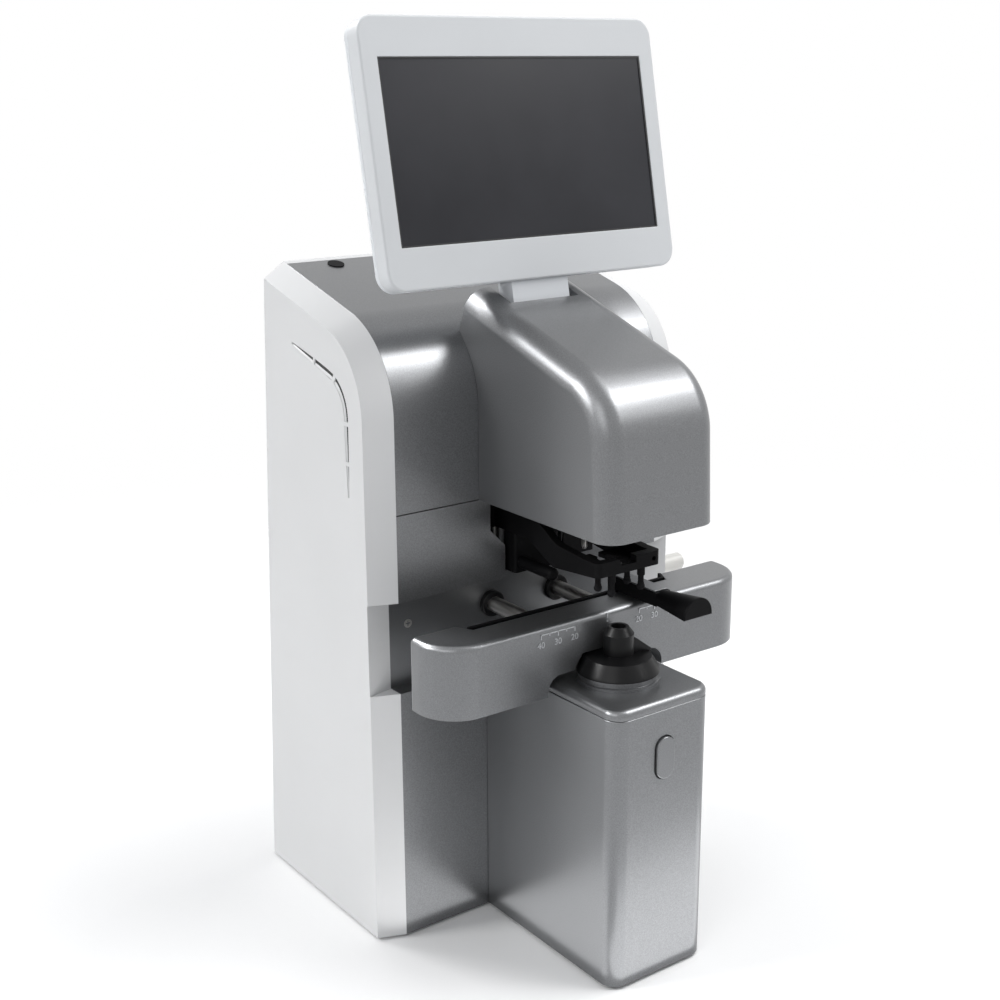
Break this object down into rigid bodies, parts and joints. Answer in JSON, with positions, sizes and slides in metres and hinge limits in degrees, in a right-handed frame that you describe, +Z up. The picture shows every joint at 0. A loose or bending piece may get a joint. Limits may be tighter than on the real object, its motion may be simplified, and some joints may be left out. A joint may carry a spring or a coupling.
{
  "type": "auto lensmeter",
  "caption": "Bench lensmeter with a tilting screen, a sliding lens table, a nosepiece on a pedestal, a lens presser and a marker under an overhanging head.",
  "frame": {"origin": "on the standing surface, straight under the measuring axis of the nosepiece", "axes": "+Z up along the measuring axis, -Y towards the operator, +X to the instrument's right side as it looks forward from behind, that is the operator's right"},
  "size_m": [0.2144, 0.2254, 0.4525],
  "materials": {
    "white_panel": "matte",
    "silver_sheet": "satin metallic",
    "silver_plastic": "satin metallic",
    "bezel_grey": "satin",
    "black_plastic": "satin",
    "cream_plastic": "semi-gloss",
    "display": "matt-coated",
    "clear_glass": "polished",
    "steel": "ground",
    "sheet_steel": "zinc plated",
    "aluminium": "machined",
    "rubber": "matte",
    "circuit_board": "solder mask",
    "brass": "turned"
  },
  "bodies": {
    "housing": {"base_plate": "sheet_steel", "bearing_block": "aluminium", "boss_ring": "silver_plastic", "button_switch": "sheet_steel", "chassis": "sheet_steel", "control_board": "circuit_board", "cover_glass": "clear_glass", "front_cover": "silver_sheet", "front_foot": "rubber", "guide_bracket": "aluminium", "head_base": "black_plastic", "head_cover": "silver_plastic", "hinge_pin": "steel", "lamp_board": "circuit_board", "lamp_lens": "clear_glass", "lamp_tube": "aluminium", "left_side_panel": "white_panel", "marker_guide": "aluminium", "nosepiece": "black_plastic", "optics_arm": "sheet_steel", "pedestal_cap": "silver_plastic", "pedestal_shell": "silver_plastic", "power_jack": "black_plastic", "power_module": "sheet_steel", "presser_guides": "steel", "rear_cover": "white_panel", "right_side_panel": "white_panel", "rocker_housing": "black_plastic", "rod_bushes": "aluminium", "rubber_feet": "rubber", "screen_ears": "sheet_steel", "sensor_board": "circuit_board", "sensor_shelf": "aluminium", "sensor_tube": "aluminium", "shaft_bush": "black_plastic", "top_plug": "rubber", "upper_cover": "silver_sheet"},
    "frame_table": {"table_bar": "silver_plastic", "table_rail": "black_plastic", "table_rods": "steel", "table_rack": "brass"},
    "table_knob": {"side_knob": "cream_plastic", "knob_shaft": "steel", "pinion": "brass"},
    "nose_pad_slider": {"nose_slider": "black_plastic", "slider_cap": "bezel_grey"},
    "lens_presser": {"presser_carriage": "aluminium", "presser_arm": "black_plastic", "press_pins": "steel", "press_tips": "rubber", "presser_block": "black_plastic", "stop_pin": "black_plastic"},
    "marker": {"marker_carrier": "black_plastic", "marker_pin": "steel"},
    "screen": {"screen_bezel": "bezel_grey", "lcd_panel": "display", "screen_shell": "bezel_grey"},
    "reading_button": {"read_button": "silver_plastic"},
    "power_switch": {"power_rocker": "black_plastic"}
  },
  "joints": [
    {"name": "table_slide", "type": "slide", "parent": "housing", "child": "frame_table", "axis": [0, 1, 0], "range_m": [0, 0.028]},
    {"name": "knob_turn", "type": "hinge", "parent": "housing", "child": "table_knob", "pos_m": [0.064, 0.086, 0.1586], "axis": [1, 0, 0], "range_deg": [0, 267.4]},
    {"name": "slider_slide", "type": "slide", "parent": "frame_table", "child": "nose_pad_slider", "axis": [1, 0, 0], "range_m": [-0.0775, 0.0165]},
    {"name": "presser_slide", "type": "slide", "parent": "housing", "child": "lens_presser", "axis": [0, 0, 1], "range_m": [-0.016, 0]},
    {"name": "marker_slide", "type": "slide", "parent": "housing", "child": "marker", "axis": [0, -0.7071, -0.7071], "range_m": [0, 0.0375]},
    {"name": "screen_tilt", "type": "hinge", "parent": "housing", "child": "screen", "pos_m": [0, 0.06418, 0.31214], "axis": [1, 0, 0], "range_deg": [-10, 8]},
    {"name": "button_press", "type": "slide", "parent": "housing", "child": "reading_button", "axis": [0, 1, 0], "range_m": [0, 0.0015], "stiffness_N_per_m": 500, "springref_m": -0.001},
    {"name": "power_rock", "type": "hinge", "parent": "housing", "child": "power_switch", "pos_m": [-0.024, 0.18637, 0.03387], "axis": [-1, 0, 0], "range_deg": [0, 16]}
  ],
  "couplings": [
    {"joint": "knob_turn", "follows": "table_slide", "rad_per_m": 166.67}
  ]
}
